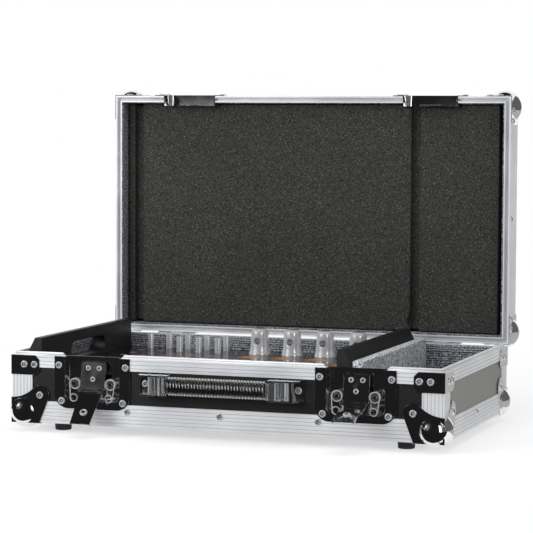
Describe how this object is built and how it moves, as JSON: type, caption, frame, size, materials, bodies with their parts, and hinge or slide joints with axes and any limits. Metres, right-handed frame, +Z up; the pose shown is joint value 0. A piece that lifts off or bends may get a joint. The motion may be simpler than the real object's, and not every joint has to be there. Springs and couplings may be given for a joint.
{
  "type": "adapter case",
  "caption": "Hinged flight case with black panels, aluminium edging, ball corners, recessed draw latches, a spring grip handle and a lift-out tray of stand adapters and pins.",
  "frame": {"origin": "on the ground plane under the middle of the base, midway between its feet", "axes": "+X to the right seen from the front, +Y to the back where the lid is hinged, +Z up"},
  "size_m": [0.628, 0.4728, 0.471],
  "materials": {
    "adapter_steel": "fine turned steel",
    "divider_felt": "board covered in light grey felt",
    "edging_aluminium": "natural anodised extrusion with fine ridges along it",
    "fastener_steel": "bright rivets and screws",
    "foot_rubber": "black moulded rubber",
    "grip_rubber": "black grip core",
    "handle_clear": "clear moulded plastic",
    "hardware_chrome": "bright plated pressed steel",
    "hinge_steel": "plated steel",
    "laminate_black": "black laminated plywood, fine orange-peel gloss",
    "lid_board": "black laminated plywood",
    "lid_foam": "dark grey soft foam",
    "lining_felt": "blue grey speckled felt",
    "pin_chrome": "polished round bar",
    "spring_steel": "bright drawn spring wire",
    "tray_black": "gloss black laminate on a tan core"
  },
  "bodies": {
    "base": {"base_back_panel": "laminate_black", "base_ball_corners": "hardware_chrome", "base_bottom_edging": "edging_aluminium", "base_bottom_panel": "laminate_black", "base_closing_rails": "edging_aluminium", "base_corner_edging": "edging_aluminium", "base_felt": "lining_felt", "base_front_panel": "laminate_black", "base_left_panel": "laminate_black", "base_rail_screws": "fastener_steel", "base_right_panel": "laminate_black", "base_rivets": "fastener_steel", "base_top_corners": "hardware_chrome", "compartment_divider": "divider_felt", "feet": "foot_rubber", "foot_screws": "fastener_steel", "handle_brackets": "hardware_chrome", "handle_pins": "fastener_steel", "hinge_base_leaves": "hinge_steel", "hinge_pins": "hinge_steel", "latch_dishes": "hardware_chrome", "latch_lever_pins": "hardware_chrome", "latch_springs": "spring_steel"},
    "handle": {"handle_ends": "handle_clear", "handle_grip_core": "grip_rubber", "handle_spring_sleeve": "spring_steel"},
    "lid": {"hinge_lid_leaves": "hinge_steel", "lid_ball_corners": "hardware_chrome", "lid_closing_rails": "edging_aluminium", "lid_edging": "edging_aluminium", "lid_felt": "lining_felt", "lid_foam": "lid_foam", "lid_latch_keepers": "hardware_chrome", "lid_panel": "lid_board", "lid_rivets": "fastener_steel", "lid_walls": "lid_board"},
    "latch_left_hook": {"latch_left_hook": "hardware_chrome"},
    "latch_left_lever": {"latch_left_lever": "hardware_chrome"},
    "latch_right_hook": {"latch_right_hook": "hardware_chrome"},
    "latch_right_lever": {"latch_right_lever": "hardware_chrome"},
    "pin_1": {"pin_1": "pin_chrome"},
    "pin_2": {"pin_2": "pin_chrome"},
    "pin_3": {"pin_3": "pin_chrome"},
    "pin_4": {"pin_4": "pin_chrome"},
    "pin_5": {"pin_5": "pin_chrome"},
    "pin_6": {"pin_6": "pin_chrome"},
    "pin_7": {"pin_7": "pin_chrome"},
    "pin_8": {"pin_8": "pin_chrome"},
    "spigot_1": {"spigot_1": "adapter_steel"},
    "spigot_2": {"spigot_2": "adapter_steel"},
    "spigot_3": {"spigot_3": "adapter_steel"},
    "spigot_4": {"spigot_4": "adapter_steel"},
    "tray": {"tray_board": "tray_black", "tray_left_panel": "tray_black", "tray_lower_deck": "tray_black", "tray_right_panel": "tray_black", "tray_screws": "fastener_steel"}
  },
  "joints": [
    {"name": "lid_hinge", "type": "hinge", "parent": "base", "child": "lid", "pos_m": [0, 0.18225, 0.10235], "axis": [-1, 0, 0], "range_deg": [-90, 0]},
    {"name": "left_lever_hinge", "type": "hinge", "parent": "base", "child": "latch_left_lever", "pos_m": [-0.186, -0.1805, 0.059], "axis": [1, 0, 0], "range_deg": [-141, 0]},
    {"name": "left_hook_slide", "type": "slide", "parent": "base", "child": "latch_left_hook", "axis": [0, 0.3256, 0.9455], "range_m": [0, 0.01632]},
    {"name": "right_lever_hinge", "type": "hinge", "parent": "base", "child": "latch_right_lever", "pos_m": [0.186, -0.1805, 0.059], "axis": [1, 0, 0], "range_deg": [-112, 0]},
    {"name": "right_hook_slide", "type": "slide", "parent": "base", "child": "latch_right_hook", "axis": [0, 0.3256, 0.9455], "range_m": [0, 0.01632]},
    {"name": "handle_draw", "type": "slide", "parent": "base", "child": "handle", "axis": [0, -1, 0], "range_m": [0, 0.006]},
    {"name": "tray_lift", "type": "slide", "parent": "base", "child": "tray", "axis": [0, 0, 1], "range_m": [0, 0.14]},
    {"name": "spigot_1_lift", "type": "slide", "parent": "tray", "child": "spigot_1", "axis": [0, 0, 1], "range_m": [0, 0.08]},
    {"name": "spigot_2_lift", "type": "slide", "parent": "tray", "child": "spigot_2", "axis": [0, 0, 1], "range_m": [0, 0.08]},
    {"name": "spigot_3_lift", "type": "slide", "parent": "tray", "child": "spigot_3", "axis": [0, 0, 1], "range_m": [0, 0.08]},
    {"name": "spigot_4_lift", "type": "slide", "parent": "tray", "child": "spigot_4", "axis": [0, 0, 1], "range_m": [0, 0.08]},
    {"name": "pin_1_lift", "type": "slide", "parent": "tray", "child": "pin_1", "axis": [0, 0, 1], "range_m": [0, 0.06]},
    {"name": "pin_2_lift", "type": "slide", "parent": "tray", "child": "pin_2", "axis": [0, 0, 1], "range_m": [0, 0.06]},
    {"name": "pin_3_lift", "type": "slide", "parent": "tray", "child": "pin_3", "axis": [0, 0, 1], "range_m": [0, 0.06]},
    {"name": "pin_4_lift", "type": "slide", "parent": "tray", "child": "pin_4", "axis": [0, 0, 1], "range_m": [0, 0.06]},
    {"name": "pin_5_lift", "type": "slide", "parent": "tray", "child": "pin_5", "axis": [0, 0, 1], "range_m": [0, 0.06]},
    {"name": "pin_6_lift", "type": "slide", "parent": "tray", "child": "pin_6", "axis": [0, 0, 1], "range_m": [0, 0.06]},
    {"name": "pin_7_lift", "type": "slide", "parent": "tray", "child": "pin_7", "axis": [0, 0, 1], "range_m": [0, 0.06]},
    {"name": "pin_8_lift", "type": "slide", "parent": "tray", "child": "pin_8", "axis": [0, 0, 1], "range_m": [0, 0.06]}
  ],
  "couplings": [
    {"joint": "left_hook_slide", "follows": "left_lever_hinge", "m_per_rad": -0.0066236},
    {"joint": "right_hook_slide", "follows": "right_lever_hinge", "m_per_rad": -0.0083386}
  ]
}
